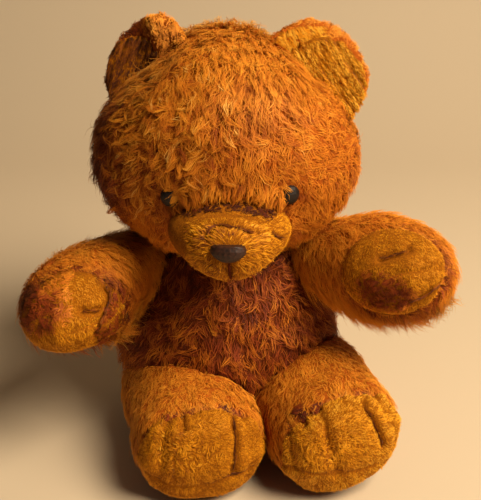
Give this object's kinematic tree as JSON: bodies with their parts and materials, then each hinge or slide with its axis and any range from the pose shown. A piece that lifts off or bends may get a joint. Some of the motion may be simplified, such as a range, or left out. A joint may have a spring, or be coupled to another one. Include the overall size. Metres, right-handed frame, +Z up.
{
  "type": "teddy bear",
  "caption": "Seated stuffed teddy bear of worn long-pile plush with short-pile muzzle, ear linings, palms and soles, sewn limbs and moulded eyes and nose.",
  "frame": {"origin": "middle of the flat face under the torso, which the bear sits on", "axes": "+Z up from the seat to the ears; the face looks along -Y; the bear's own left is +X"},
  "size_m": [0.325, 0.2323, 0.3414],
  "materials": {
    "rust_plush": "long matted pile, worn",
    "gold_velour": "short pile, worn and soiled",
    "wadding": "matt",
    "black_plastic": "satin",
    "eye_plastic": "scuffed gloss",
    "washer_plastic": "matt"
  },
  "bodies": {
    "root": {"head_cover": "rust_plush", "torso_cover": "rust_plush", "arm_left_cover": "rust_plush", "arm_right_cover": "rust_plush", "leg_left_cover": "rust_plush", "leg_right_cover": "rust_plush", "ear_back_left": "rust_plush", "ear_back_right": "rust_plush", "muzzle_cover": "gold_velour", "ear_front_left": "gold_velour", "ear_front_right": "gold_velour", "palm_pad_left": "gold_velour", "palm_pad_right": "gold_velour", "sole_left": "gold_velour", "sole_right": "gold_velour", "head_stuffing": "wadding", "torso_stuffing": "wadding", "arm_left_stuffing": "wadding", "arm_right_stuffing": "wadding", "leg_left_stuffing": "wadding", "leg_right_stuffing": "wadding", "nose": "black_plastic", "eye_left": "eye_plastic", "eye_right": "eye_plastic", "nose_washer": "washer_plastic", "eye_left_washer": "washer_plastic", "eye_right_washer": "washer_plastic"}
  },
  "joints": []
}
